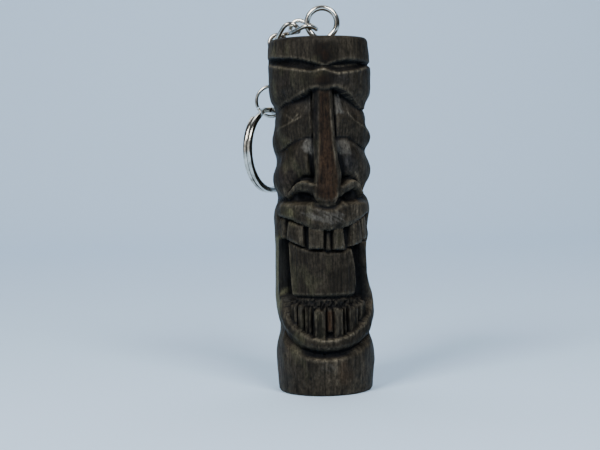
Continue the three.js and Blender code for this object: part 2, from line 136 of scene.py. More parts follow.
STOCK = [[0, 13.4], [4.6, 13.75], [8.1, 14.0], [11.6, 14.1], [24, 14.15], [50, 14.1], [72, 14.2], [85, 14.5], [95.5, 14.45], [99.6, 14.2]]

# lines of the carving: angle from the nose in degrees, height in mm
WEDGE_TOP = [[-110, 94.6], [-80, 94.4], [-59, 94.1], [-40, 93.7], [-26, 93.1], [-14, 92.3], [-6, 91.7], [0, 91.3], [6, 91.9], [14, 92.5], [24, 93.0], [38, 93.0], [62, 92.7], [110, 92.6]]
WEDGE_LOW = [[-110, 92.4], [-65, 91.8], [-48, 91.0], [-32, 90.4], [-15, 89.8], [-8, 90.1], [-2, 90.4], [5, 89.8], [14, 89.3], [26, 89.6], [40, 90.1], [65, 91.4], [110, 91.6]]
BROW = [[-110, 79.3], [-84, 79.6], [-69, 80.4], [-46, 81.9], [-36, 82.9], [-26, 83.7], [-18, 84.8], [-11, 85.3], [-4, 84.9], [3, 85.0], [10, 85.3], [17, 84.9], [23, 84.2], [30, 83.2], [39, 81.5], [50, 79.8], [61, 79.4], [110, 79.8]]
LID = [[-110, 72.5], [-73, 74.0], [-53, 75.3], [-32, 77.5], [-20, 78.5], [12, 79.4], [21, 79.1], [30, 78.5], [38, 76.6], [67, 73.6], [110, 72]]
CREASE = [[-110, 66], [-84, 67.2], [-61, 68.9], [-48, 70.4], [-36, 71.4], [-27, 71.9], [-19, 71.8], [12, 71.4], [20, 71.9], [32, 71.9], [38, 71.2], [53, 69.2], [80, 67.9], [110, 67.9]]
CHEEK = [[-110, 54.8], [-70, 54.8], [-60, 55.6], [-52, 57.4], [-46, 59.1], [-37, 60.4], [-28, 61.0], [-19, 60.5], [-14, 59.2], [10, 58.6], [18, 59.7], [27, 60.5], [34, 60.5], [43, 60.0], [52, 58.2], [61, 56.2], [70, 56.2], [110, 56.5]]
LIP_LOW = [[-90, 50.4], [-67, 49.9], [-47, 49.1], [-33, 47.8], [-19, 46.7], [-4, 46.2], [11, 46.5], [25, 47.0], [35, 47.9], [47, 49.1], [60, 50.3], [90, 50.6]]
TOOTH_LOW = [[-95, 44.8], [-79, 44.4], [-62, 43.5], [-56, 43.3], [-30, 41.5], [-25, 41.1], [-6, 40.9], [0, 40.2], [6, 40.6], [22, 40.5], [31, 41.2], [53, 42.0], [67, 42.6], [90, 43.2]]
JAW_IN = [[-80, 29], [-66, 27.5], [-62, 25.2], [-56, 21.6], [-44, 19.3], [-33, 17.8], [-22, 16.5], [-10, 15.9], [3, 15.9], [17, 16.5], [30, 17.7], [44, 19.6], [58, 22.0], [70, 25.0], [80, 29]]
JAW_OUT = [[-110, 18.1], [-69, 17.7], [-60, 15.9], [-46, 13.8], [-34, 12.3], [-23, 11.6], [-11, 11.3], [7, 11.4], [25, 12.1], [38, 13.2], [56, 15.0], [77, 16.6], [110, 16.6]]
TEETH_UP = [
    ([(-68, 49.6), (-60, 49.4), (-64.5, 43.3), (-79, 44.6)], 0.70),
    ([(-53, 49.0), (-31, 47.6), (-31.5, 41.6), (-58, 43.5)], 0.55),
    ([(-24.6, 47.2), (-5.4, 46.4), (-5.8, 40.9), (-25, 41.0)], 0.65),
    ([(-4.0, 46.8), (4.6, 46.8), (4.8, 40.4), (-4.2, 40.4)], 1.95),
    ([(6.3, 46.6), (18.9, 46.6), (21.8, 40.6), (6.0, 40.7)], 0.60),
    ([(30.3, 48.4), (46, 49.4), (51.8, 42.2), (31.2, 41.3)], 0.70),
    ([(50, 49.8), (61, 50.2), (69, 43.2), (54.5, 42.8)], 0.85),
]
TEETH_DOWN = [
    ([(-56.5, 25.2), (-45, 25.6), (-44.5, 18.0), (-57, 19.0)], 1.35),
    ([(-42.5, 25.6), (-35, 24.9), (-34.8, 16.5), (-43, 17.0)], 1.15),
    ([(-33.0, 25.3), (-29.6, 24.6), (-29.4, 15.5), (-33, 15.5)], 1.25),
    ([(-28.4, 24.2), (-25.2, 24.9), (-25.4, 15.5), (-28.6, 15.5)], 1.6),
    ([(-20.2, 24.2), (-5.2, 24.2), (-5.6, 14.5), (-20.6, 14.5)], 0.85),
    ([(-4.2, 23.3), (-2.5, 24.2), (2.5, 24.2), (4.2, 23.4), (4.4, 17.6), (-4.2, 17.6)], 1.9),
    ([(5.8, 24.4), (17.4, 24.2), (17.2, 14.5), (5.6, 14.5)], 0.95),
    ([(20.4, 24.8), (23.6, 24.3), (23.8, 15.5), (20.2, 15.5)], 1.75),
    ([(26.2, 25.2), (32.5, 24.5), (41.2, 25.3), (40.6, 17.5), (26, 16.5)], 1.05),
    ([(45.8, 24.6), (50, 25.8), (58, 25.6), (61.5, 23.8), (58, 20.9), (46, 20.2)], 1.3),
]
NOSE_L = [[53, -12.5], [55, -13.5], [57.4, -13.8], [61.5, -11.6], [65.6, -10.2], [71, -8.9], [82.4, -7.7], [86, -7.0]]
NOSE_R = [[53, 9.5], [55, 10.5], [57.4, 11.2], [61.5, 11.8], [65.6, 8.8], [71, 6.2], [82.4, 4.8], [86, 4.2]]
FLANK_L = [[53, -15.0], [55, -17.8], [57.4, -19.0], [59.5, -16.8], [61.5, -15.0], [65.6, -16.0], [71, -16.4], [82.4, -17.2], [86, -17.4]]
FLANK_R = [[53, 13.0], [55, 15.6], [57.4, 17.0], [59.5, 18.8], [61.0, 19.4], [65.6, 14.4], [71, 11.8], [82.4, 9.9], [86, 9.4]]
TIP = [[-24, 57.6], [-18.4, 55.8], [-16.4, 54.7], [-9.1, 53.6], [-0.8, 53.1], [7.8, 53.4], [13.4, 54.5], [17, 56.4], [22, 58.0]]
WING_L = [[-57, 55.6], [-52, 56.4], [-47, 57.3], [-41, 58.7], [-35, 59.6], [-28, 59.7], [-21, 59.1], [-11, 58.4]]
WING_R = [[10, 57.9], [18, 58.4], [30, 59.5], [38, 59.7], [43, 58.9], [49, 57.0], [55, 55.4]]
MOUTH_L = [[16, -64], [25, -66.5], [29, -70], [35, -70.5], [42, -69.5], [50, -66]]
MOUTH_R = [[16, 66], [22, 70], [25, 71], [28.4, 67], [33, 61.5], [37, 55.5], [41.5, 55.5], [44, 62], [50, 64]]
TONGUE_L = [[24, -54], [27.2, -55.5], [32.2, -58.5], [37.2, -61], [42, -62]]
TONGUE_R = [[24, 41.5], [27, 42.4], [31.7, 45.4], [36, 43.8], [41, 38.8]]


def table_z(table, z, soft=0.0):
    return line(table, z, soft)


def segment_distance(px, pz, ax, az, bx, bz):
    dx, dz = bx - ax, bz - az
    t = np.clip(((px - ax) * dx + (pz - az) * dz) / (dx * dx + dz * dz), 0, 1)
    return np.hypot(px - ax - t * dx, pz - az - t * dz)


def stroke(points, a, z):
    """Distance in mm from a broken line drawn on the surface."""
    x = a * ARC
    d = np.full(np.shape(x), 1e9)
    for (a0, z0), (a1, z1) in zip(points[:-1], points[1:]):
        d = np.minimum(d, segment_distance(x, z, a0 * ARC, z0, a1 * ARC, z1))
    return d


def inside(points, a, z):
    """Signed distance in mm to a closed outline on the surface, positive inside."""
    x = a * ARC
    d = np.full(np.shape(x), 1e9)
    odd = np.zeros(np.shape(x), bool)
    n = len(points)
    for i in range(n):
        a0, z0 = points[i]
        a1, z1 = points[(i + 1) % n]
        x0, x1 = a0 * ARC, a1 * ARC
        d = np.minimum(d, segment_distance(x, z, x0, z0, x1, z1))
        if z0 != z1:
            hit = ((z0 > z) != (z1 > z)) & (x < (x1 - x0) * (z - z0) / (z1 - z0) + x0)
            odd ^= hit
    return np.where(odd, d, -d)


def noise3(x, y, z, seed=0):
    """Smooth value noise in space, from -1 to 1."""
    xi, yi, zi = np.floor(x).astype(np.int64), np.floor(y).astype(np.int64), np.floor(z).astype(np.int64)
    fx, fy, fz = x - xi, y - yi, z - zi
    fx, fy, fz = fx * fx * (3 - 2 * fx), fy * fy * (3 - 2 * fy), fz * fz * (3 - 2 * fz)

    def h(i, j, k):
        v = (i * 374761393 + j * 668265263 + k * 2147483647 + seed * 1274126177) & 0xFFFFFFFF
        v = ((v ^ (v >> 13)) * 1274126177) & 0xFFFFFFFF
        v = v ^ (v >> 16)
        return (v & 0xFFFF) / 32767.5 - 1

    r = 0
    for i in (0, 1):
        for j in (0, 1):
            for k in (0, 1):
                w = (fx if i else 1 - fx) * (fy if j else 1 - fy) * (fz if k else 1 - fz)
                r = r + w * h(xi + i, yi + j, zi + k)
    return r


def carve(a, z):
    """Radius in mm of the carved wood at angle a (degrees from the nose) and height z."""
    s = np.abs(a)
    th = np.radians(a)
    cx, cy = 14 * np.sin(th), 14 * np.cos(th)
    stock = line(STOCK, z, 0.8)
    side = np.where(a < 0, line(LEFT, z, 0.55), line(RIGHT, z, 0.55))
    behind = smooth(98, 128, s)
    r = lerp(side, stock, behind)
    front = 1 - smooth(60, 78, s)
    wob = 0.18 * noise3(cx / 2.2, cy / 2.2, z / 3.0, 5)  # a knife never follows the line exactly

    brow = line(BROW, a, 3) + wob
    lid = line(LID, a, 2) + wob
    crease = line(CREASE, a, 2) + wob
    cheek = line(CHEEK, a, 1.5)
    lip = line(LIP_LOW, a, 3) + 0.5 * wob
    tooth = line(TOOTH_LOW, a, 1)
    jaw_in = line(JAW_IN, a, 2) + 0.5 * wob
    jaw_out = line(JAW_OUT, a, 4)
    nl, nr = table_z(NOSE_L, z, 0.8), table_z(NOSE_R, z, 0.8)
    fl, fr = table_z(FLANK_L, z, 0.6), table_z(FLANK_R, z, 0.6)
    ml, mr = table_z(MOUTH_L, z, 1), table_z(MOUTH_R, z, 1)
    tl, tr = table_z(TONGUE_L, z, 1), table_z(TONGUE_R, z, 1)

    # forehead: it rolls in towards the brow, and two long chips are cut out of it
    top, low = line(WEDGE_TOP, a, 2) + 0.4 * wob, line(WEDGE_LOW, a, 2) + 0.3 * wob
    t = (top - z) / (top - low)
    depth = 0.55 + 1.35 * smooth(2, 16, np.abs(a + 0.5))
    depth = depth * (1 - 0.6 * smooth(70, 100, -a)) * (1 - 0.65 * smooth(66, 92, a))
    cut = smooth(0.0, 0.14, t) * (1 - np.clip((t - 0.35) / 0.65, 0, 1) ** 1.5) * (t < 1)
    ripple = 0.16 * np.sin(2 * np.pi * (t * 3.1 + 0.02 * s)) * smooth(0.3, 0.5, t) * smooth(1.0, 0.86, t)
    wedge = depth * cut + ripple * smooth(4, 12, s) * (1 - smooth(60, 80, s))
    forehead = stock - 1.2 * (1 - smooth(brow - 0.5, brow + 5.0, z)) * smooth(16, 46, s)

    # eyelid: an upper and a lower facet that meet in a crest
    up = np.clip((brow - z) / np.maximum(0.5, brow - lid), 0, 1)
    down = np.clip((z - crease) / np.maximum(0.5, lid - crease), 0, 1)
    hollow = lerp(3.5, 2.0, smooth(18, 60, s))
    ridge = lerp(1.9, 0.55, smooth(18, 60, s))
    under = lerp(2.3, 1.25, smooth(18, 60, s))
    lids = stock - np.where(z > lid, lerp(hollow, ridge, up ** 0.85), lerp(under, ridge, np.sin(down * np.pi / 2) ** 0.9))

    # cheek
    t = np.clip((z - cheek) / np.maximum(0.5, crease - cheek), 0, 1)
    swell = np.sin(np.pi * np.clip(t * 0.84 + 0.08, 0, 1))
    cheeks = stock - lerp(lerp(3.1, 2.5, smooth(18, 60, s)), lerp(1.5, 0.3, smooth(18, 48, s)), swell)

    # under the nose, and the upper lip
    lip_band = smooth(54.9, 53.0, z)
    crest = np.clip((z - lip) / np.maximum(1, 53.4 - lip), 0, 1)
    roll = 0.55 * (1 - smooth(0.0, 0.3, crest)) ** 1.5
    lipz = stock - lerp(2.6, 0.1, lip_band) - roll

    # upper teeth, each its own block
    recess = 2.9 + 0.5 * smooth(lip - 0.9, lip + 0.1, z)
    uteeth = recess
    for outline, level in TEETH_UP:
        d = inside(outline, a, z)
        face = level + 0.5 * np.exp(-np.maximum(d, 0) / 0.45) + 0.35 * smooth(lip - 0.8, lip, z)
        uteeth = np.where(d > -0.16, lerp(uteeth, face, smooth(-0.16, 0.12, d)), uteeth)

    # open mouth, tongue, ragged gum, lower teeth
    in_mouth = smooth(ml - 1.5, ml + 1.5, a) * (1 - smooth(mr - 2.5, mr + 1.5, a))
    tongue = smooth(tl - 1.2, tl + 2.2, a) * (1 - smooth(tr - 5.0, tr + 0.8, a))
    grooves = 0.10 * noise3(cx / 0.42, cy / 0.42, z / 9.0, 21) + 0.10 * noise3(cx / 0.9, cy / 0.9, z / 14.0, 22)
    gum_top = 26.9 + 0.45 * noise3(cx / 0.9, cy / 0.9, z / 9.0, 31)
    gum = 1 - smooth(gum_top - 0.35, gum_top + 0.15, z)
    shelf = smooth(28.3, 27.2, z)
    shade = smooth(tooth - 1.0, tooth + 0.1, z)
    panel = lerp(4.5, 2.0 + grooves, tongue) + 1.5 * shelf * (1 - gum) * tongue + 1.3 * shade
    lteeth = 3.1 + 0.75 * noise3(cx / 0.55, cy / 0.55, z / 0.7, 33) * smooth(23.3, 24.6, z)
    ragged = 0.6 * noise3(cx / 0.8, cy / 0.8, z / 0.8, 34)
    for outline, level in TEETH_DOWN:
        d = inside(outline, a, z + ragged * smooth(22.6, 24.0, z))
        face = level + 0.45 * np.exp(-np.maximum(d, 0) / 0.4) + 0.16 * noise3(cx / 0.45, cy / 0.45, z / 3.0, 35)
        lteeth = np.where(d > -0.2, lerp(lteeth, face, smooth(-0.2, 0.14, d)), lteeth)
    mouths = lerp(panel, lteeth, gum)

    # lower lip and jaw
    across = np.clip((jaw_in - z) / np.maximum(1.0, jaw_in - jaw_out), 0, 1)
    jaw = 0.45 * np.exp(-across / 0.16) - 0.15 + 0.95 * smooth(0.45, 1.0, across)

    f = np.select(
        [z > brow, z > crease, z > cheek, z > lip],
        [forehead, lids, cheeks, lipz],
        stock - np.select([z > tooth, z > jaw_in, z > jaw_out], [uteeth, mouths, jaw], 0.0),
    )
    inm = (z <= lip) & (z > jaw_in)
    rim = lerp(stock, side, smooth(48, 74, s))
    f = np.where(inm, lerp(rim, f, np.where(z > tooth, 1 - smooth(70, 78, s), in_mouth)), f)

    # the undercut between the jaw and the base: a wide dark chip in the middle, a groove at the sides
    mid = smooth(-44, -24, a) * (1 - smooth(12, 34, a))
    lowz = jaw_out - 0.1
    f = f - lerp(0.70, 2.0, mid) * np.exp(-((np.minimum(z - lowz, 0) / lerp(1.0, 0.75, mid)) ** 2) - (np.maximum(z - lowz, 0) / lerp(1.1, 1.5, mid)) ** 2)
    f = f - 0.55 * np.exp(-(stroke([(-62, 18.2), (-50, 16.6), (-40, 14.6)], a, z) / 0.8) ** 2) - 0.45 * np.exp(-(stroke([(30, 13.2), (42, 13.8), (52, 15.2)], a, z) / 0.8) ** 2)

    # wings of the nose: a thin ridge each, sloping down into the nostril
    for crest_line, inner, outer in ((WING_L, -24.0, -47.0), (WING_R, 22.0, 46.0)):
        below = line(crest_line, a, 1.5) - z
        join = smooth(outer, inner, a)
        level = 0.35 + 0.28 * below + 0.9 * smooth(lerp(1.1, 2.6, join), lerp(2.0, 3.3, join), below)
        a0, a1 = crest_line[0][0], crest_line[-1][0]
        m = smooth(-0.45, 0.0, below) * smooth(lerp(2.4, 3.8, join), lerp(1.8, 3.2, join), below)
        thin = smooth(36, 48, s)
        m = m * smooth(1.5, 0.9, below * thin)
        m = m * smooth(a0 - 1, a0 + 4, a) * (1 - smooth(a1 - 4, a1 + 1, a))
        f = np.where(m > 0, np.maximum(f, lerp(stock - 2.9, stock - level, m)), f)
    f = f - 1.8 * np.exp(-(((a + 31.5) / 9.5) ** 4) - ((z - 55.3) / 1.35) ** 4)
    f = f - 1.9 * np.exp(-(((a - 32.0) / 9.0) ** 4) - ((z - 55.1) / 1.35) ** 4)
    f = f - 1.1 * np.exp(-(((a + 24.0) / 10.0) ** 4) - ((z - 60.7) / 0.75) ** 2)
    f = f - 1.9 * np.exp(-((inside([(10, 57.9), (18, 59.2), (26, 60.6), (36, 60.9), (28, 59.6), (18, 58.6)], a, z) - 0.6) / 0.7) ** 2) * smooth(6, 12, a) * (1 - smooth(34, 40, a))

    # hollows beside the nose, and the narrow grooves along its flanks
    on_face = smooth(59.5, 61.5, z) * (1 - smooth(84.0, 85.4, z))
    left_gap, right_gap = (fl - a) * ARC, (a - fr) * ARC
    lowpart = smooth(70.5, 66.5, z)
    f = f - on_face * lowpart * (1.35 * np.exp(-(((left_gap - 0.9) / 1.0) ** 2)) + 1.25 * np.exp(-(((right_gap - 1.2) / 1.2) ** 2)))
    f = f - on_face * smooth(71.2, 72.4, z) * (0.9 * np.exp(-(((left_gap - 0.15) / 0.38) ** 2)) + 1.1 * np.exp(-(((right_gap - 0.2) / 0.42) ** 2)))

    # the nose: a flat ridge with sloping flanks, ending in a rounded tip
    ridge_r = stock + lerp(-1.0, 0.25, smooth(86, 61, z)) + 0.1
    tleft = np.clip((nl - a) / (nl - fl), 0, 1)
    tright = np.clip((a - nr) / (fr - nr), 0, 1)
    keel = ridge_r - 1.25 * tleft ** 1.2 - 1.15 * tright ** 1.2 - 0.0009 * (a + 1) ** 2
    tip_z = line(TIP, a, 2)
    keel = keel - 0.7 * (1 - smooth(0.0, 1.6, z - tip_z)) - 0.25 * smooth(57.5, 59.5, z) * smooth(63, 60, z)
    width = smooth(-0.28, 0.12, -left_gap) * smooth(-0.28, 0.12, -right_gap)
    on = width * smooth(-0.15, 0.25, z - tip_z) * (1 - smooth(85.2, 86.2, z))
    f = lerp(f, np.maximum(f, keel), on)
    f = f - 0.95 * np.exp(-(stroke([(-17, 53.2), (-8, 52.7), (0, 52.3), (8, 52.6), (15, 53.6)], a, z) / 0.55) ** 2)

    # light knife scratches on the eyelids
    for pts, dd in (([(-53, 78.2), (-40, 76.6)], 0.14), ([(-48, 75.6), (-36, 78.4)], 0.12), ([(24, 80.5), (44, 76.0)], 0.12)):
        f = f - dd * np.exp(-(stroke(pts, a, z) / 0.28) ** 2)

    wall = np.where((z < 46) & (z > 21), np.where(a < 0, 1 - smooth(68, 74, s), 1 - smooth(72, 84, s)), front)
    r = lerp(r, f, wall)
    r = r - wedge * (1 - smooth(80, 104, s))

    # hand-cut facets and open grain
    away = smooth(0, 2.5, z) * smooth(99.6, 97, z)
    r = r + away * (0.13 * noise3(cx / 4.2, cy / 4.2, z / 4.5, 41) + 0.05 * noise3(cx / 1.5, cy / 1.5, z / 2.2, 42))
    r = r + 0.035 * noise3(cx / 0.38, cy / 0.38, z / 7.0, 43)

    top = np.clip((z - (HEIGHT - 1.3)) / 1.3, 0, 1)
    r = r - 1.3 * (1 - np.sqrt(1 - top * top))
    foot = np.clip((0.9 - z) / 0.9, 0, 1)
    r = r - 0.81 * (1 - np.sqrt(1 - foot * foot))
    return np.minimum(r, 14.62)


# ------------------------------------------------------------------ stain, wear, patches, painted shade and painted highlights on the wood
def blur2(F, sa, sz):
    """Gaussian blur of a field on the (angle, height) grid: wraps round in angle."""
    n, m = F.shape
    pad = int(4 * sz) + 1
    G = np.concatenate([np.repeat(F[:1], pad, 0), F, np.repeat(F[-1:], pad, 0)], 0)
    fz = np.fft.fftfreq(G.shape[0])[:, None]
    fa = np.fft.fftfreq(m)[None]
    H = np.exp(-2 * np.pi ** 2 * ((fz * sz) ** 2 + (fa * sa) ** 2))
    return np.real(np.fft.ifft2(np.fft.fft2(G) * H))[pad:pad + n]


def relief():
    a = np.arange(-180, 180, 1.0)
    z = np.arange(0.9, 98.31, 0.25)
    A, Z = np.meshgrid(a, z)
    R = carve(A, Z)
    fine = blur2(R, 0.5 / 0.237, 0.5 / 0.25)
    mid = blur2(R, 1.1 / 0.237, 1.1 / 0.25)
    wide = blur2(R, 2.6 / 0.237, 2.6 / 0.25)
    return a, z, [mid - R, wide - fine, fine - R]


def sample(a, z, F, A, Z):
    x = (A + 180) % 360
    y = np.clip((Z - z[0]) / (z[1] - z[0]), 0, len(z) - 1.001)
    xi, yi = np.floor(x).astype(int) % 360, np.floor(y).astype(int)
    fx, fy = x - np.floor(x), y - yi
    x1 = (xi + 1) % 360
    return (F[yi, xi] * (1 - fx) + F[yi, x1] * fx) * (1 - fy) + (F[yi + 1, xi] * (1 - fx) + F[yi + 1, x1] * fx) * fy


PALE = [  # outlines of the places where the stain is rubbed or cut away, and how pale
    ([(-26.5, 83.0), (-18.5, 83.4), (-18.5, 78.9), (-25.5, 78.6)], 0.26, 1),
    ([(11.3, 83.4), (21.0, 83.6), (22.5, 78.6), (14.0, 78.2)], 0.82, 0),
    ([(22, 82.8), (36, 81.2), (50, 79.6), (34, 76.4), (23, 79.0)], 0.16, 0),
    ([(-32, 69.2), (-28.2, 70.9), (-22.0, 71.2), (-17.1, 70.3), (-16.8, 67.8), (-18.8, 67.0), (-26.3, 67.9)], 0.76, 0),
    ([(13.8, 70.9), (32.3, 70.7), (31.4, 67.3), (14.8, 67.4)], 0.52, 0),
    ([(34.9, 70.3), (55.4, 68.3), (61.2, 65.8), (46.6, 67.8)], 0.28, 0),
    ([(-31, 51.0), (-17.3, 52.3), (-7.1, 51.6), (2, 51.2), (16.7, 50.6), (16.4, 48.2), (-6.0, 48.4)], 0.64, 2),
    ([(-13.2, 9.6), (6.1, 8.8), (5.9, 6.6), (-13.4, 7.3)], 0.22, 2),
    ([(-66, 31), (-56, 31), (-54, 26.4), (-64, 26.4)], 0.25, 2),
]


def stain_wear_and_painted_light(A, Z, R):
    ga, gz, (cav, hollow, tight) = relief()
    cav, hollow, tight = (sample(ga, gz, F, A, Z) for F in (cav, hollow, tight))
    th = np.radians(A)
    cx, cy = 14 * np.sin(th), 14 * np.cos(th)
    blot = noise3(cx / 3.5, cy / 3.5, Z / 6.0, 61)
    grain = noise3(cx / 0.5, cy / 0.5, Z / 8.0, 62)
    speck = noise3(cx / 0.7, cy / 0.7, Z / 1.1, 63)
    cross = noise3(cx / 3.0, cy / 3.0, Z / 0.55, 64)
    base = np.array([0.0172, 0.0143, 0.0102])
    red = np.array([0.0285, 0.0150, 0.0076])
    olive = np.array([0.072, 0.0700, 0.0400])
    black = np.array([0.0040, 0.0041, 0.0046])
    pale = np.array([0.068, 0.065, 0.058])
    # light is the colour of worn edges and of the painted highlight lines
    light = np.array([0.072, 0.063, 0.046])
    c = np.ones(A.shape + (1,)) * base
    c = c * (1 + 0.26 * blot + 0.30 * grain + 0.30 * speck)[..., None]
    smear = noise3(cx / 1.6, cy / 1.6, Z / 1.3, 68) + 0.6 * noise3(cx / 0.8, cy / 0.8, Z / 0.6, 69)
    c = c * (1 + 0.30 * smear)[..., None]
    # painted light: the left side is lighter, as the side the light falls on
    c = c * lerp(1.0, 1.22, smooth(-30, -75, A))[..., None]
    c = c * (1 - 0.28 * smooth(57, 59, Z) * (1 - smooth(90, 91, Z)) * smooth(-4, -16, A))[..., None]
    c = c * (1 + 0.22 * smooth(12, 22, A))[..., None]
    # painted light: the foot is lighter, as if lit by light thrown up from the pale floor
    c = c * lerp(1.0, 1.25, (1 - smooth(10, 16, Z)))[..., None]
    middle = np.exp(-(((A + 1) / 17.0) ** 2)) * smooth(85.5, 86.5, Z) * (1 - smooth(97.0, 98.5, Z))
    low_teeth = smooth(15.5, 17, Z) * (1 - smooth(25, 26, Z)) * (Z > line(JAW_IN, A)) * (1 - smooth(60, 70, np.abs(A)))
    c = c * (1 - 0.82 * low_teeth)[..., None]
    lip_low = (Z <= line(JAW_IN, A)) * smooth(-0.3, 0.5, Z - line(JAW_OUT, A)) * (1 - smooth(50, 66, np.abs(A)))
    c = c * (1 - 0.46 * lip_low)[..., None]
    c = c * (1 - 0.22 * smooth(27, 28.5, Z) * (1 - smooth(40, 41, Z)) * (1 - smooth(46, 52, np.abs(A + 6))))[..., None]
    c = c * (1 + 0.30 * smooth(15, 45, A) * smooth(40, 41.5, Z) * (1 - smooth(52, 54, Z)))[..., None]

    def mix(c, col, w):
        w = np.clip(w, 0, 1)[..., None]
        return c * (1 - w) + col * w

    # the bare reddish wood of the nose and forehead
    nl, nr = line(NOSE_L, Z), line(NOSE_R, Z)
    nose = smooth(nl - 2, nl + 1.5, A) * (1 - smooth(nr - 1.5, nr + 2, A)) * smooth(53.5, 54.5, Z) * (1 - smooth(83.5, 85.5, Z))
    c = mix(c, red * (0.42 + 0.26 * smear + 0.18 * grain)[..., None], nose * 0.88)
    fl, fr = line(FLANK_L, Z), line(FLANK_R, Z)
    flank = np.maximum(smooth(fl - 1, fl + 1, A) * (1 - smooth(nl - 2.5, nl + 0.5, A)), smooth(nr + 1.5, nr + 3, A) * (1 - smooth(fr - 1, fr + 1, A)) * 0.5)
    c = mix(c, black, 0.65 * flank * smooth(62, 66, Z) * (1 - smooth(84, 85, Z)))
    blotch = np.exp(-(((A + 2) / 8.0) ** 2)) * smooth(85.5, 88, Z) * (1 - smooth(96.0, 98, Z))
    c = mix(c, red * 0.95, blotch * np.clip(0.40 + 0.7 * smear, 0, 1))
    c = c * (1 - 0.88 * middle)[..., None]
    c = mix(c, red * 0.30, 0.55 * blotch * np.clip(0.5 + smear, 0, 1))
    for a0, z0, wa, wz, hue, w in ((28, 65.0, 12, 3.6, (0.0062, 0.0078, 0.0112), 0.55), (-60, 62.5, 14, 3.0, (0.0170, 0.0088, 0.0076), 0.40),
                                   (-52, 50.5, 12, 2.6, (0.0190, 0.0200, 0.0085), 0.50), (-26, 88.0, 11, 2.4, (0.0140, 0.0145, 0.0070), 0.35),
                                   (20, 88.0, 12, 2.2, (0.0068, 0.0080, 0.0105), 0.40), (44, 79.0, 12, 2.2, (0.0200, 0.0130, 0.0078), 0.35),
                                   (-44, 88.0, 14, 2.5, (0.0125, 0.0098, 0.0110), 0.30), (12, 44.0, 5, 2.2, (0.0200, 0.0200, 0.0090), 0.35)):
        c = mix(c, 1.25 * np.array(hue), w * np.exp(-(((A - a0) / wa) ** 2) - ((Z - z0) / wz) ** 2) * (0.9 + 0.4 * smear))
    tooth = np.exp(-((A / 4.2) ** 2)) * smooth(17.5, 18.5, Z) * (1 - smooth(23, 24.2, Z))
    c = mix(c, red * 1.1, tooth * 0.75)
    c = mix(c, red * 0.9, smooth(0.25, 0.8, blot) * 0.35 * (Z < 14))
    # the left rim of the mouth is rubbed to olive
    rim = smooth(-100, -84, A) * (1 - smooth(-68, -64, A)) * smooth(20, 26, Z) * (1 - smooth(43.5, 45, Z))
    c = mix(c, olive * 1.25, rim * (0.85 + 0.3 * grain))
    c = mix(c, olive * 0.8, 0.30 * smooth(0.1, 0.7, noise3(cx / 2.6, cy / 2.6, Z / 3.2, 65)) * (1 - smooth(-40, 20, A)))
    # stain gathers in the cuts and painted shade darkens them further, and sharp edges are worn
    side_cut = smooth(24, 44, np.abs(A + 4)) * (1 - smooth(17.5, 20, Z))
    c = mix(c, black, (1.15 * smooth(0.06, 0.55, cav) + 0.75 * smooth(0.25, 1.3, hollow)) * (1 - 0.75 * side_cut))
    # painted shadow under the lower edge of the brow
    brow_shadow = np.exp(-((stroke([(-40, 82.2), (-26, 83.3), (-12, 84.9)], A, Z) / 0.55) ** 2)) + 0.8 * np.exp(-((stroke([(8, 85.2), (18, 84.6), (30, 83.0)], A, Z) / 0.6) ** 2))
    c = mix(c, black, 0.8 * brow_shadow)
    # painted shade in the gaps beside the outermost upper teeth
    tooth_gap_shade = np.exp(-((stroke([(-57.8, 49.2), (-61.6, 43.4)], A, Z) / 0.50) ** 2)) + np.exp(-((stroke([(48.4, 49.8), (53.2, 42.6)], A, Z) / 0.32) ** 2))
    c = mix(c, black, 0.9 * tooth_gap_shade)
    # painted shadow under the lower lip, in the undercut above the base
    c = mix(c, np.array([0.0035, 0.0042, 0.0056]), 0.9 * np.exp(-((Z - 11.6) / 1.1) ** 2) * smooth(-40, -24, A) * (1 - smooth(14, 30, A)))
    # painted shadow inside the two chips cut in the forehead
    top, low = line(WEDGE_TOP, A, 2), line(WEDGE_LOW, A, 2)
    t = (top - Z) / (top - low)
    chip_shadow = smooth(-0.06, 0.05, t) * (1 - smooth(0.80, 1.0, t)) * smooth(2, 9, np.abs(A + 0.5)) * (1 - smooth(78, 100, np.abs(A)))
    c = mix(c, black, chip_shadow * (0.97 - 0.2 * np.maximum(0, cross)))
    # painted shade in the deep channels either side of the tongue, below the upper teeth
    ml, mr = line(MOUTH_L, Z), line(MOUTH_R, Z)
    tl, tr = line(TONGUE_L, Z), line(TONGUE_R, Z)
    floor = np.maximum(smooth(ml - 4.6, ml - 3.2, A) * (1 - smooth(tl + 0.6, tl + 3.4, A)), smooth(tr - 1.5, tr + 1.5, A) * (1 - smooth(mr - 1, mr + 3, A)))
    floor = floor * smooth(25.5, 27, Z) * (1 - smooth(-0.5, 0.5, Z - line(TOOTH_LOW, A)))
    c = mix(c, black, floor * (0.97 - 0.5 * smooth(0.2, 0.8, speck) * smooth(33, 28, Z)))
    # painted shade in the gum recess behind the lower teeth, broken up in patches
    ragged = smooth(23.6, 24.6, Z) * (1 - smooth(26.8, 27.6, Z)) * smooth(-66, -62, A) * (1 - smooth(62, 68, A))
    c = mix(c, black, ragged * (0.75 - 0.7 * smooth(0.25, 0.7, noise3(cx / 0.5, cy / 0.5, Z / 0.5, 66))))
    c = mix(c, light, (1 - floor) * (0.10 * smooth(0.12, 0.5, -cav) * (0.75 + 0.5 * grain) + 0.26 * smooth(0.045, 0.13, -tight) * (0.45 + 0.75 * np.maximum(0, speck + 0.4))))
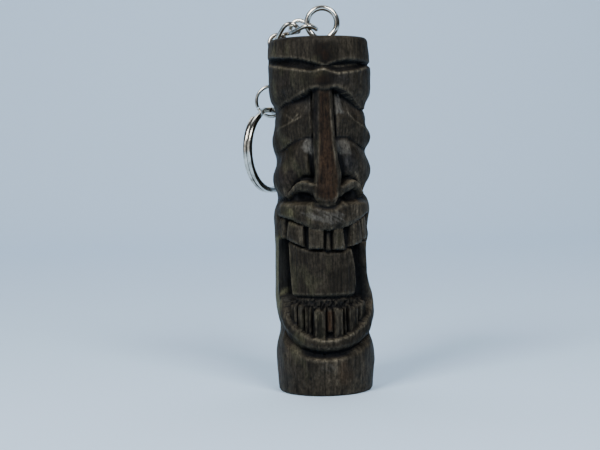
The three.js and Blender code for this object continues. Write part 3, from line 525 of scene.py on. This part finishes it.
    # thin light lines: painted highlights where crests and edges catch the light, partly worn edges, and two pale knife
    # scratches on the left eyelid
    for pts, w in (([(-73, 74.0), (-53, 75.3), (-32, 77.5)], 0.55), ([(30, 78.5), (40, 76.2), (67, 73.4)], 0.6), ([(-53, 78.2), (-40, 76.6)], 0.3), ([(-46, 76.0), (-36, 78.4)], 0.3),
                   ([(-92, 92.6), (-65, 91.6), (-47, 90.9), (-31, 90.3), (-15, 89.7)], 0.7), ([(-8, 90.2), (-1, 90.4), (5, 89.7), (14, 89.1), (26, 89.4), (40, 89.9), (58, 91.0)], 0.8),
                   ([(8, 91.2), (20, 91.2), (36, 91.6), (50, 92.0)], 0.45), ([(-47, 57.3), (-41, 58.7), (-35, 59.6), (-28, 59.7), (-21, 59.1), (-12, 58.6)], 0.7), ([(30, 59.5), (38, 59.7), (43, 58.9), (48, 57.2)], 0.6),
                   ([(-20, 16.2), (-10, 15.6), (3, 15.6), (17, 16.2), (28, 17.2)], 0.8), ([(-20, 10.5), (-11, 10.2), (0, 10.1), (10, 10.3)], 0.6), ([(-33, 47.6), (-19, 46.5), (-4, 46.0), (11, 46.3), (25, 46.8)], 0.5),
                   ([(40, 62.0), (48, 60.2), (54, 58.2)], 0.45), ([(5.4, 82), (6.8, 71), (9.4, 65.5)], 0.4), ([(-18.6, 82), (-18.6, 73)], 0.3)):
        d = stroke(pts, A, Z)
        c = mix(c, light * 1.3, 1.15 * w * np.exp(-(d / 0.22) ** 2) * (0.35 + 0.8 * np.maximum(0, speck + 0.45)))
    u, v = A * ARC * 0.86 - Z * 0.5, A * ARC * 0.5 + Z * 0.86
    slant = noise3(u / 2.6, v / 0.42, 0 * u, 67)
    for outline, w, kind in PALE:
        d = inside(outline, A, Z)
        m = smooth(-0.45, 0.35, d + 0.35 * speck) if kind != 2 else smooth(-0.7, 0.9, d + 0.5 * slant)
        tex = (0.80 + 0.35 * speck) if kind == 0 else (0.55 + 0.5 * grain) if kind == 1 else 0.62 + 0.55 * slant + 0.25 * speck
        c = mix(c, pale, w * m * tex)
    return np.clip(c, 0.0006, 0.4)


def figure_mesh():
    k = 1.0
    fine = np.arange(-76, 76.01, 0.7 * k)
    side = np.arange(76 + 1.3 * k, 108, 1.3 * k)
    back = np.arange(111, 249.1, 3.6 * k)
    ang = np.concatenate([-side[::-1], fine, side, back])
    n = len(ang)
    zs = np.concatenate([[0, 0.03, 0.1, 0.25, 0.45, 0.7, 0.9], np.arange(1.25, 98.2, 0.325 * k), [98.3, 98.5, 98.75, 99.0, 99.2, 99.4, 99.52, 99.58, HEIGHT]])
    m = len(zs)
    A, Z = np.meshgrid(ang, zs)
    A = np.where(A > 180, A - 360, A)
    R = carve(A, Z)
    C = stain_wear_and_painted_light(A, Z, R)
    th = np.radians(A)
    X, Y = R * np.sin(th), -R * np.cos(th)
    verts = [np.stack([X, Y, Z], -1).reshape(-1, 3)]
    cols = [C.reshape(-1, 3)]
    # the sawn top: end grain in low ridges, with the foot as rings too
    rings = (0.95, 0.86, 0.74, 0.6, 0.45, 0.3, 0.15)
    for q in rings:
        rr = R[-1] * q
        x, y = rr * np.sin(th[-1]), -rr * np.cos(th[-1])
        saw = 0.05 * noise3(x / 0.8 + 40, y / 3.0 + 40, 0 * x, 71)
        verts.append(np.stack([x, y, HEIGHT + DOME * (1 - q) + saw * (1 - q)], -1))
        g = 1 + 0.35 * noise3(x / 0.6 + 50, y / 1.6 + 50, 0 * x, 72) + 0.2 * noise3(x / 3 + 50, y / 3 + 50, 0 * x, 73)
        cols.append(np.array([0.060, 0.051, 0.037]) * g[:, None])
    feet = (0.9, 0.7, 0.4)
    for q in feet:
        rr = R[0] * q
        verts.append(np.stack([rr * np.sin(th[0]), -rr * np.cos(th[0]), np.zeros(n)], -1))
        cols.append(np.tile(np.array([[0.045, 0.035, 0.024]]), (n, 1)))
    verts.append(np.array([[0, 0, HEIGHT + DOME], [0, 0, 0]]))
    cols.append(np.array([[0.045, 0.038, 0.028], [0.045, 0.035, 0.024]]))
    verts, cols = np.concatenate(verts), np.concatenate(cols)
    idx = np.arange(m * n).reshape(m, n)
    nxt = np.roll(idx, -1, axis=1)
    quads = [np.stack([idx[:-1], nxt[:-1], nxt[1:], idx[1:]], -1).reshape(-1, 4)]
    base = m * n
    ring = idx[-1]
    for q in range(len(rings)):
        cur = base + q * n + np.arange(n)
        quads.append(np.stack([ring, np.roll(ring, -1), np.roll(cur, -1), cur], -1))
        ring = cur
    last = len(verts)
    tris = [np.stack([ring, np.roll(ring, -1), np.full(n, last - 2)], -1)]
    ring = idx[0]
    for q in range(len(feet)):
        cur = base + (len(rings) + q) * n + np.arange(n)
        quads.append(np.stack([np.roll(ring, -1), ring, cur, np.roll(cur, -1)], -1))
        ring = cur
    tris.append(np.stack([np.roll(ring, -1), ring, np.full(n, last - 1)], -1))
    me = bpy.data.meshes.new("carved_wood")
    me.from_pydata((verts * MM).tolist(), [], np.concatenate(quads).tolist() + np.concatenate(tris).tolist())
    me.update()
    me.polygons.foreach_set("use_smooth", np.ones(len(me.polygons), bool))
    tint = me.color_attributes.new("tint", "FLOAT_COLOR", "POINT")
    tint.data.foreach_set("color", np.concatenate([cols, np.ones((len(cols), 1))], 1).astype(np.float32).ravel())
    print("figure", len(me.vertices), "verts", 2 * len(np.concatenate(quads)) + len(np.concatenate(tris)), "tris")
    return me


# ------------------------------------------------------------------ node helper
def material(name):
    mat = bpy.data.materials.new(name)
    mat.use_nodes = True
    nt = mat.node_tree
    nt.nodes.clear()
    out = nt.nodes.new("ShaderNodeOutputMaterial")
    bsdf = nt.nodes.new("ShaderNodeBsdfPrincipled")
    nt.links.new(bsdf.outputs[0], out.inputs[0])
    return mat, nt, bsdf


# ------------------------------------------------------------------ wires
def frames(points, closed, start):
    n = len(points)
    if closed:
        tan = np.roll(points, -1, 0) - np.roll(points, 1, 0)
    else:
        tan = np.gradient(points, axis=0)
    tan = tan / np.linalg.norm(tan, axis=1, keepdims=True)
    us = np.zeros_like(points)
    u = start - tan[0] * np.dot(start, tan[0])
    for i in range(n):
        u = u - tan[i] * np.dot(u, tan[i])
        u = u / np.linalg.norm(u)
        us[i] = u
    if closed:
        end = us[-1] - tan[0] * np.dot(us[-1], tan[0])
        end = end / np.linalg.norm(end)
        slip = math.atan2(np.dot(np.cross(end, us[0]), tan[0]), np.dot(end, us[0]))
        for i in range(n):
            a = slip * i / n
            us[i] = us[i] * math.cos(a) + np.cross(tan[i], us[i]) * math.sin(a)
    return us, np.cross(tan, us)


def sweep(name, points, section, us, vs, closed):
    n, m = len(points), len(section)
    sec = np.asarray(section, float)
    if sec.ndim == 2:
        sec = np.repeat(sec[None], n, 0)
    m = sec.shape[1]
    P = points[:, None] + us[:, None] * sec[:, :, :1] + vs[:, None] * sec[:, :, 1:]
    verts = P.reshape(-1, 3)
    faces = []
    for i in range(n if closed else n - 1):
        j = (i + 1) % n
        for k in range(m):
            l = (k + 1) % m
            faces.append((i * m + k, i * m + l, j * m + l, j * m + k))
    if not closed:
        faces.append(tuple(reversed(range(m))))
        faces.append(tuple((n - 1) * m + k for k in range(m)))
    me = bpy.data.meshes.new(name)
    me.from_pydata((verts * MM).tolist(), [], faces)
    me.update()
    for p in me.polygons:
        p.use_smooth = len(p.vertices) == 4
    return me


def circle(d, sides):
    t = 2 * np.pi * (np.arange(sides) + 0.5) / sides
    return np.stack([d / 2 * np.cos(t), d / 2 * np.sin(t)], 1)


def fix_normals(me):
    import bmesh
    bm = bmesh.new()
    bm.from_mesh(me)
    bmesh.ops.recalc_face_normals(bm, faces=bm.faces)
    bm.to_mesh(me)
    bm.free()


def add(me, name, mat, body, *nodes, slot="nickel"):
    fix_normals(me)
    ob = bpy.data.objects.new(name, me)
    bpy.context.collection.objects.link(ob)
    me.materials.append(mat)
    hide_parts(*nodes)
    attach(ob, body)
    return ob


EYE_C, EYE_W, EYE_R = (1.1, 0.0, 104.3), 1.65, 4.22
LINK_W, LINK_H, LINK_S, LINK_T = 1.25, 4.475, 2.5, -42.0
LINKS = [
    ((-1.169, -0.747, 102.895), (-7.742, 5.211, 104.076), -0.429),
    ((-6.464, 4.151, 104.091), (-12.014, 10.243, 100.602), -0.081),
    ((-11.755, 9.503, 102.093), (-12.229, 11.982, 93.506), 0.169),
    ((-11.807, 11.626, 94.79), (-14.148, 11.83, 86.154), -0.197),
]
WALL = math.radians(139)
JUMP_C, JUMP_W, JUMP_R = (-14.152, 11.831, 83.023), 1.0, 4.4
SPLIT_C, SPLIT_R = (-14.855, 10.66, 68.758), 11.72


def link_mesh(i):
    a, b, roll = LINKS[i]
    n = 120
    st = LINK_H - LINK_S
    total = 4 * st + 2 * math.pi * LINK_S
    pts = []
    for k in range(n):
        s = total * k / n
        if s < 2 * st:
            x, y = -st + s, LINK_S
        elif s < 2 * st + math.pi * LINK_S:
            t = math.pi / 2 - (s - 2 * st) / LINK_S
            x, y = st + LINK_S * math.cos(t), LINK_S * math.sin(t)
        elif s < 4 * st + math.pi * LINK_S:
            x, y = st - (s - 2 * st - math.pi * LINK_S), -LINK_S
        else:
            t = -math.pi / 2 - (s - 4 * st - math.pi * LINK_S) / LINK_S
            x, y = -st + LINK_S * math.cos(t), LINK_S * math.sin(t)
        turn = math.radians(LINK_T) * x / LINK_H
        pts.append((x, y * math.cos(turn), y * math.sin(turn)))
    pts = np.array(pts)
    A, B = place(*a), place(*b)
    X = unit(B - A)
    flat = np.array([0, 0, 1.0]) if i < 2 else place(math.cos(WALL), math.sin(WALL), 0)
    Z = unit(flat - X * np.dot(flat, X))
    Z = Z * math.cos(roll) + np.cross(X, Z) * math.sin(roll)
    Y = np.cross(Z, X)
    world = (A + B) / 2 + pts @ np.stack([X, Y, Z])
    us, vs = frames(world, True, Z)
    return sweep("link_%d" % (i + 1), world, circle(LINK_W, 20), us, vs, True)


def eye_mesh():
    foot = EYE_R * math.sqrt(2)
    pts = [(-1.15, -foot + 1.15)]
    for k in range(0, 91):
        t = math.radians(225 - 270 * k / 90)
        pts.append((EYE_R * math.cos(t), EYE_R * math.sin(t)))
    pts += [(1.3, -foot + 1.3), (0.95, -foot + 0.9), (0.6, -foot + 0.42), (0.3, -foot - 0.1), (0.12, -foot - 0.6), (0.03, -foot - 1.1), (0, -foot - 1.6), (0, -foot - 2.6), (0, -foot - 12.0)]
    P = np.array([place(EYE_C[0] + x, EYE_C[1], EYE_C[2] + z) for x, z in pts])
    us, vs = frames(P, False, place(0, 1, 0))
    return sweep("eye", P, circle(EYE_W, 24), us, vs, False)


def jump_mesh():
    ex, ez = place(1, 0, 0), np.array([0, 0, 1.0])
    c = place(*JUMP_C)
    # the ring's butt joint: the wire runs from one side of a hairline gap to the other
    gap = math.radians(1.6)
    at = math.radians(205)
    t = np.linspace(at + gap, at + 2 * math.pi - gap, 110)
    P = c + JUMP_R * (np.cos(t)[:, None] * ex + np.sin(t)[:, None] * ez)
    us, vs = frames(P, False, place(0, 1, 0))
    return sweep("jump", P, circle(JUMP_W, 20), us, vs, False)


def split_mesh():
    e1 = place(-math.cos(math.radians(59)), -math.sin(math.radians(59)), 0)
    e2 = np.array([0, 0, 1.0])
    axis = place(-math.sin(math.radians(59)), math.cos(math.radians(59)), 0)
    c = place(*SPLIT_C)
    end, n = 38.0, 320
    a = np.linspace(end, end + 720 - 33, n + 1)
    shift = smooth(end + 360 - 30, end + 360 - 3, a)
    off = lerp(0.64, -0.64, shift)
    rad = np.sin(np.radians(a))[:, None] * e1 + np.cos(np.radians(a))[:, None] * e2
    P = c + rad * SPLIT_R + off[:, None] * axis
    # flat-backed wire with rounded outer corners
    w, h = 0.775, 0.6
    sec = []
    for cx, cy, t0 in ((w - 0.32, h - 0.32, 0), (-(w - 0.32), h - 0.32, 90), (-(w - 0.32), -(h - 0.32), 180), (w - 0.32, -(h - 0.32), 270)):
        for k in range(6):
            t = math.radians(t0 + 90 * k / 5)
            sec.append((cx + 0.32 * math.cos(t), cy + 0.32 * math.sin(t)))
    return sweep("split", P, np.array(sec), rad, np.repeat(axis[None], n + 1, 0), False)


# ------------------------------------------------------------------ materials
def nickel(name):
    mat, nt, b = material(name)
    tc = nt.nodes.new("ShaderNodeTexCoord")

    def noise(scale, detail):
        n = nt.nodes.new("ShaderNodeTexNoise")
        n.inputs["Scale"].default_value = scale
        n.inputs["Detail"].default_value = detail
        nt.links.new(tc.outputs["Object"], n.inputs["Vector"])
        return n.outputs["Fac"]

    tarnish, scuff = noise(420.0, 5.0), noise(3200.0, 4.0)
    ramp = nt.nodes.new("ShaderNodeValToRGB")
    ramp.color_ramp.elements[0].position = 0.34
    ramp.color_ramp.elements[0].color = (0.27, 0.25, 0.21, 1)
    ramp.color_ramp.elements[1].position = 0.55
    ramp.color_ramp.elements[1].color = (0.60, 0.585, 0.54, 1)
    nt.links.new(tarnish, ramp.inputs["Fac"])
    nt.links.new(ramp.outputs["Color"], b.inputs["Base Color"])
    b.inputs["Metallic"].default_value = 1.0
    mr = nt.nodes.new("ShaderNodeMapRange")
    mr.inputs["From Min"].default_value = 0.3
    mr.inputs["From Max"].default_value = 0.75
    mr.inputs["To Min"].default_value = 0.10
    mr.inputs["To Max"].default_value = 0.24
    nt.links.new(scuff, mr.inputs["Value"])
    nt.links.new(mr.outputs["Result"], b.inputs["Roughness"])
    bump = nt.nodes.new("ShaderNodeBump")
    bump.inputs["Strength"].default_value = 0.08
    bump.inputs["Distance"].default_value = 0.00002
    nt.links.new(scuff, bump.inputs["Height"])
    nt.links.new(bump.outputs["Normal"], b.inputs["Normal"])
    return mat


def wood():
    mat, nt, b = material("stained_wood")
    at = nt.nodes.new("ShaderNodeAttribute")
    at.attribute_name = "tint"
    tc = nt.nodes.new("ShaderNodeTexCoord")

    def noise(scale, stretch, detail, rough=0.55):
        mp = nt.nodes.new("ShaderNodeMapping")
        mp.inputs["Scale"].default_value = stretch
        nt.links.new(tc.outputs["Object"], mp.inputs["Vector"])
        n = nt.nodes.new("ShaderNodeTexNoise")
        n.inputs["Scale"].default_value = scale
        n.inputs["Detail"].default_value = detail
        n.inputs["Roughness"].default_value = rough
        nt.links.new(mp.outputs["Vector"], n.inputs["Vector"])
        return n.outputs["Fac"]

    def ranged(value, lo, hi, out0, out1):
        m = nt.nodes.new("ShaderNodeMapRange")
        m.inputs["From Min"].default_value = lo
        m.inputs["From Max"].default_value = hi
        m.inputs["To Min"].default_value = out0
        m.inputs["To Max"].default_value = out1
        nt.links.new(value, m.inputs["Value"])
        return m.outputs["Result"]

    def math_node(op, x, y):
        m = nt.nodes.new("ShaderNodeMath")
        m.operation = op
        for i, v in enumerate((x, y)):
            if isinstance(v, (int, float)):
                m.inputs[i].default_value = v
            else:
                nt.links.new(v, m.inputs[i])
        return m.outputs[0]

    fibre = noise(2600.0, (1, 1, 0.07), 6.0, 0.65)     # fine upright fibres
    pores = noise(1500.0, (1, 1, 0.11), 3.0, 0.6)       # short open pores
    blotch = noise(260.0, (1, 1, 0.5), 4.0)
    mottle = noise(1900.0, (1, 1, 0.6), 4.0, 0.7)         # specks and small smears of stain
    gain = math_node("MULTIPLY", ranged(fibre, 0.32, 0.68, 0.70, 1.32), ranged(blotch, 0.3, 0.7, 0.66, 1.34))
    gain = math_node("MULTIPLY", gain, ranged(mottle, 0.34, 0.66, 0.52, 1.48))
    pore = ranged(pores, 0.36, 0.47, 0.52, 1.05)
    gain = math_node("MULTIPLY", gain, pore)
    mul = nt.nodes.new("ShaderNodeVectorMath")
    mul.operation = "SCALE"
    nt.links.new(at.outputs["Color"], mul.inputs[0])
    nt.links.new(gain, mul.inputs["Scale"])
    nt.links.new(mul.outputs["Vector"], b.inputs["Base Color"])
    rough = math_node("ADD", ranged(fibre, 0.3, 0.7, 0.50, 0.66), ranged(blotch, 0.3, 0.7, -0.06, 0.08))
    nt.links.new(rough, b.inputs["Roughness"])
    b.inputs["Specular IOR Level"].default_value = 0.08
    height = math_node("ADD", math_node("MULTIPLY", fibre, 1.0), math_node("MULTIPLY", pore, 0.6))
    bump = nt.nodes.new("ShaderNodeBump")
    bump.inputs["Strength"].default_value = 0.75
    bump.inputs["Distance"].default_value = 0.00012
    nt.links.new(height, bump.inputs["Height"])
    nt.links.new(bump.outputs["Normal"], b.inputs["Normal"])
    return mat


# ------------------------------------------------------------------ build
add(figure_mesh(), "figure_wood", wood(), "figure", "tiki_body", slot="stained_wood")

metal = nickel("nickel_plate")
add(eye_mesh(), "eye_screw", metal, "figure", "screw_eye")
for i in range(4):
    add(link_mesh(i), "link_%d_wire" % (i + 1), metal, "link_%d" % (i + 1), "chain_link_%d" % (i + 1))
add(jump_mesh(), "jump_wire", metal, "jump_ring", "jump_ring")
add(split_mesh(), "split_wire", metal, "split_ring", "split_ring")


# ------------------------------------------------------------------ floor, backdrop and light
def backdrop():
    # one sheet: a wide flat floor that sweeps up far behind the figure
    prof = [(y, 0.0) for y in (-3.0, -1.0, -0.4, 0.0, 0.45, 0.6)]
    for k in range(1, 17):
        t = math.pi / 2 * k / 16
        prof.append((0.6 + 0.35 * math.sin(t), 0.35 - 0.35 * math.cos(t)))
    prof += [(0.95, 0.8), (0.95, 1.8)]
    verts, faces = [], []
    xs = np.linspace(-2.4, 2.4, 9)
    fwd, right = place(0, 1, 0), place(1, 0, 0)
    for y, z in prof:
        for x in xs:
            p = right * x + fwd * y
            verts.append((p[0], p[1], z - 0.00002))
    w = len(xs)
    for i in range(len(prof) - 1):
        for j in range(w - 1):
            faces.append((i * w + j, i * w + j + 1, (i + 1) * w + j + 1, (i + 1) * w + j))
    me = bpy.data.meshes.new("backdrop")
    me.from_pydata(verts, [], faces)
    me.update()
    for p in me.polygons:
        p.use_smooth = True
    ob = bpy.data.objects.new("backdrop", me)
    bpy.context.collection.objects.link(ob)
    mat, nt, b = material("paper")
    b.inputs["Base Color"].default_value = (0.60, 0.775, 0.97, 1)
    b.inputs["Roughness"].default_value = 0.9
    b.inputs["Specular IOR Level"].default_value = 0.1
    me.materials.append(mat)
    return ob


backdrop()


def area(name, azimuth, elevation, dist, size, power, color=(1, 1, 1), look=(0, 0, 0.05)):
    """A soft panel: azimuth in degrees to the right of the camera side, elevation above level."""
    li = bpy.data.lights.new(name, "AREA")
    li.shape = "RECTANGLE"
    li.size, li.size_y = size
    li.energy = power
    li.color = color
    ob = bpy.data.objects.new(name, li)
    bpy.context.collection.objects.link(ob)
    az, el = math.radians(azimuth), math.radians(elevation)
    p = place(math.sin(az) * math.cos(el), -math.cos(az) * math.cos(el), math.sin(el)) * dist
    ob.location = (look[0] + p[0], look[1] + p[1], look[2] + p[2])
    d = Vector(look) - Vector(ob.location)
    ob.rotation_euler = d.to_track_quat("-Z", "Y").to_euler()
    return ob


area("left_panel", -34, 38, 0.8, (0.30, 0.30), 5.8, (1.0, 0.985, 0.96))
area("right_panel", 26, 38, 0.8, (0.30, 0.30), 5.2, (1.0, 0.99, 0.98))
area("wall_wash", 0, 60, 0.9, (1.4, 0.5), 6.2, (0.96, 0.985, 1.0), (0, 0.95, 0.2))
area("low_front", -50, 8, 0.9, (0.7, 0.5), 1.0, (1.0, 0.99, 0.97))
world = bpy.data.worlds.new("studio")
bpy.context.scene.world = world
world.use_nodes = True
world.node_tree.nodes["Background"].inputs["Color"].default_value = (0.75, 0.82, 0.9, 1)
world.node_tree.nodes["Background"].inputs["Strength"].default_value = 0.10
